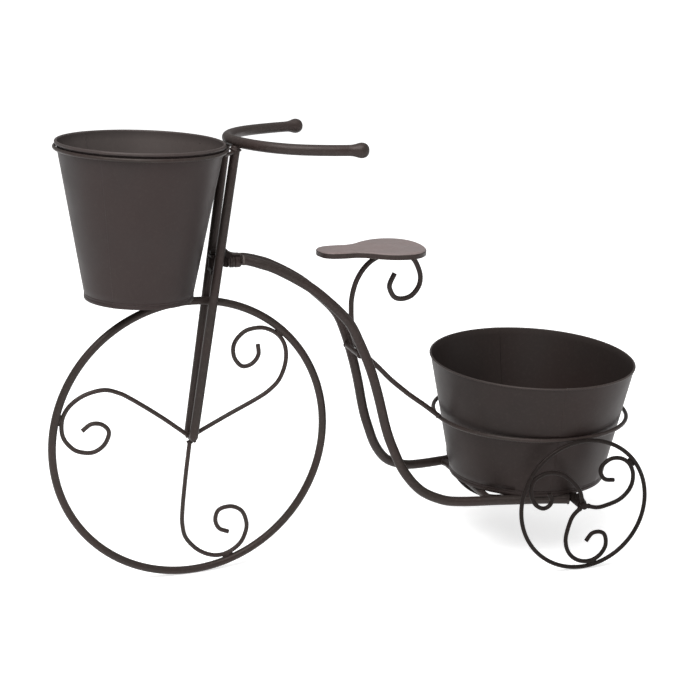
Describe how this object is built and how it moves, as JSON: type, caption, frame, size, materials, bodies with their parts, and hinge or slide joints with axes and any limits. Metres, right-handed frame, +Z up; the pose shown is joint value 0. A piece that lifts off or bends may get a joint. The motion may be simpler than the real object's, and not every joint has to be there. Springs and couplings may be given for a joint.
{
  "type": "tricycle planter",
  "caption": "Painted metal garden ornament shaped like an old tricycle, with a tapered pot hung in front of the handlebar and a wider pot between the rear wheels.",
  "frame": {"origin": "on the ground, in the middle of the planter's length and width", "axes": "+X from the front wheel to the rear wheels, +Y to the side away from the picture's camera, +Z up"},
  "size_m": [0.7059, 0.2656, 0.5082],
  "materials": {
    "frame_paint": "satin dark brown paint on round steel rod and tube",
    "wheel_paint": "satin dark brown paint on the wheels' rings and scrolls",
    "saddle_paint": "satin dark brown paint on a flat plate",
    "pot_paint": "satin dark brown paint on sheet steel",
    "bolt_steel": "bolts, nuts and washer, painted over with the frame"
  },
  "bodies": {
    "frame": {"rail_near": "frame_paint", "rail_far": "frame_paint", "frame_boss": "frame_paint", "steering_eye": "frame_paint", "stud_washer": "bolt_steel", "stud_lock_nut": "bolt_steel", "seat_cross_bar": "frame_paint", "seat_rod": "frame_paint", "saddle": "saddle_paint", "rear_hoop": "frame_paint", "front_strut": "frame_paint", "rear_strut": "frame_paint", "axle_sleeve_near": "frame_paint", "axle_sleeve_far": "frame_paint"},
    "steering": {"fork_leg_near": "frame_paint", "fork_leg_far": "frame_paint", "fork_bridge_upper": "frame_paint", "fork_bridge_lower": "frame_paint", "pivot_bolt": "bolt_steel", "pivot_nut": "bolt_steel", "handlebar": "frame_paint", "handlebar_ball_near": "frame_paint", "handlebar_ball_far": "frame_paint", "front_hoop": "frame_paint", "hoop_stay_near": "frame_paint", "hoop_stay_far": "frame_paint", "front_axle": "bolt_steel", "front_axle_cap": "bolt_steel"},
    "front_wheel": {"front_wheel_ring": "wheel_paint", "front_wheel_hub": "wheel_paint", "front_wheel_scroll_1": "wheel_paint", "front_wheel_scroll_2": "wheel_paint", "front_wheel_scroll_3": "wheel_paint"},
    "rear_wheelset": {"rear_axle": "wheel_paint", "rear_wheel_near_ring": "wheel_paint", "rear_wheel_near_scroll_1": "wheel_paint", "rear_wheel_near_scroll_2": "wheel_paint", "rear_wheel_near_scroll_3": "wheel_paint", "rear_wheel_far_ring": "wheel_paint", "rear_wheel_far_scroll_1": "wheel_paint", "rear_wheel_far_scroll_2": "wheel_paint", "rear_wheel_far_scroll_3": "wheel_paint"},
    "front_pot": {"front_pot_wall": "pot_paint", "front_pot_floor": "pot_paint"},
    "rear_pot": {"rear_pot_wall": "pot_paint", "rear_pot_floor": "pot_paint"}
  },
  "joints": [
    {"name": "steering_turn", "type": "hinge", "parent": "frame", "child": "steering", "pos_m": [-0.16116, 0, 0.3665], "axis": [0, 0, 1], "range_deg": [-38.9, 31.1]},
    {"name": "front_wheel_spin", "type": "hinge", "parent": "steering", "child": "front_wheel", "pos_m": [-0.18877, -0.00188, 0.1645], "axis": [-0.068, 0.9977, 0], "continuous": true},
    {"name": "rear_axle_spin", "type": "hinge", "parent": "frame", "child": "rear_wheelset", "pos_m": [0.25396, 0, 0.0807], "axis": [0.0401, 0.9992, 0], "continuous": true},
    {"name": "front_pot_lift", "type": "slide", "parent": "steering", "child": "front_pot", "axis": [0.0279, 0.0019, 0.9996], "range_m": [0, 0.2]},
    {"name": "rear_pot_lift", "type": "slide", "parent": "frame", "child": "rear_pot", "axis": [0, 0, 1], "range_m": [0, 0.2]}
  ]
}
